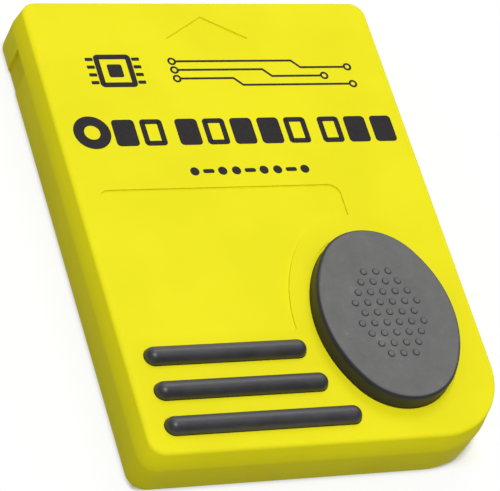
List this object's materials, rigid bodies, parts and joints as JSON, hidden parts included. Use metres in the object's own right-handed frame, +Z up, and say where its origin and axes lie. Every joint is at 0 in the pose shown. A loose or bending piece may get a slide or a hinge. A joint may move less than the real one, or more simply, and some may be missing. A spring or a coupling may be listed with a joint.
{
  "type": "console memory card",
  "caption": "Flat console memory card: yellow moulded case with a large rounded corner, an oval rubber thumb pad, rubber grip strips and gold contacts recessed at the far end.",
  "frame": {"origin": "middle of the card's footprint, on the surface that it lies on", "axes": "+X to the right across the card, +Y towards the contact end, +Z up out of the face with the thumb pad"},
  "size_m": [0.042, 0.0566, 0.0091],
  "materials": {
    "case_yellow": "moulded, satin",
    "rubber_grey": "moulded, matte",
    "board_green": "solder resist on glass-fibre laminate",
    "contact_gold": "gold plated",
    "chip_black": "moulded epoxy",
    "lead_tin": "tin plated",
    "component_tan": "fired ceramic"
  },
  "bodies": {
    "root": {"top_shell": "case_yellow", "bottom_shell": "case_yellow", "thumb_pad": "rubber_grey", "grip_strip_1": "rubber_grey", "grip_strip_2": "rubber_grey", "grip_strip_3": "rubber_grey", "circuit_board": "board_green", "contact_strip_1": "contact_gold", "contact_strip_2": "contact_gold", "contact_strip_3": "contact_gold", "contact_strip_4": "contact_gold", "contact_strip_5": "contact_gold", "contact_strip_6": "contact_gold", "contact_strip_7": "contact_gold", "contact_strip_8": "contact_gold", "memory_chip": "chip_black", "memory_chip_leads": "lead_tin", "controller_chip": "chip_black", "controller_chip_leads": "lead_tin", "clock_resonator": "component_tan", "capacitors": "component_tan", "resistors": "chip_black"}
  },
  "joints": []
}
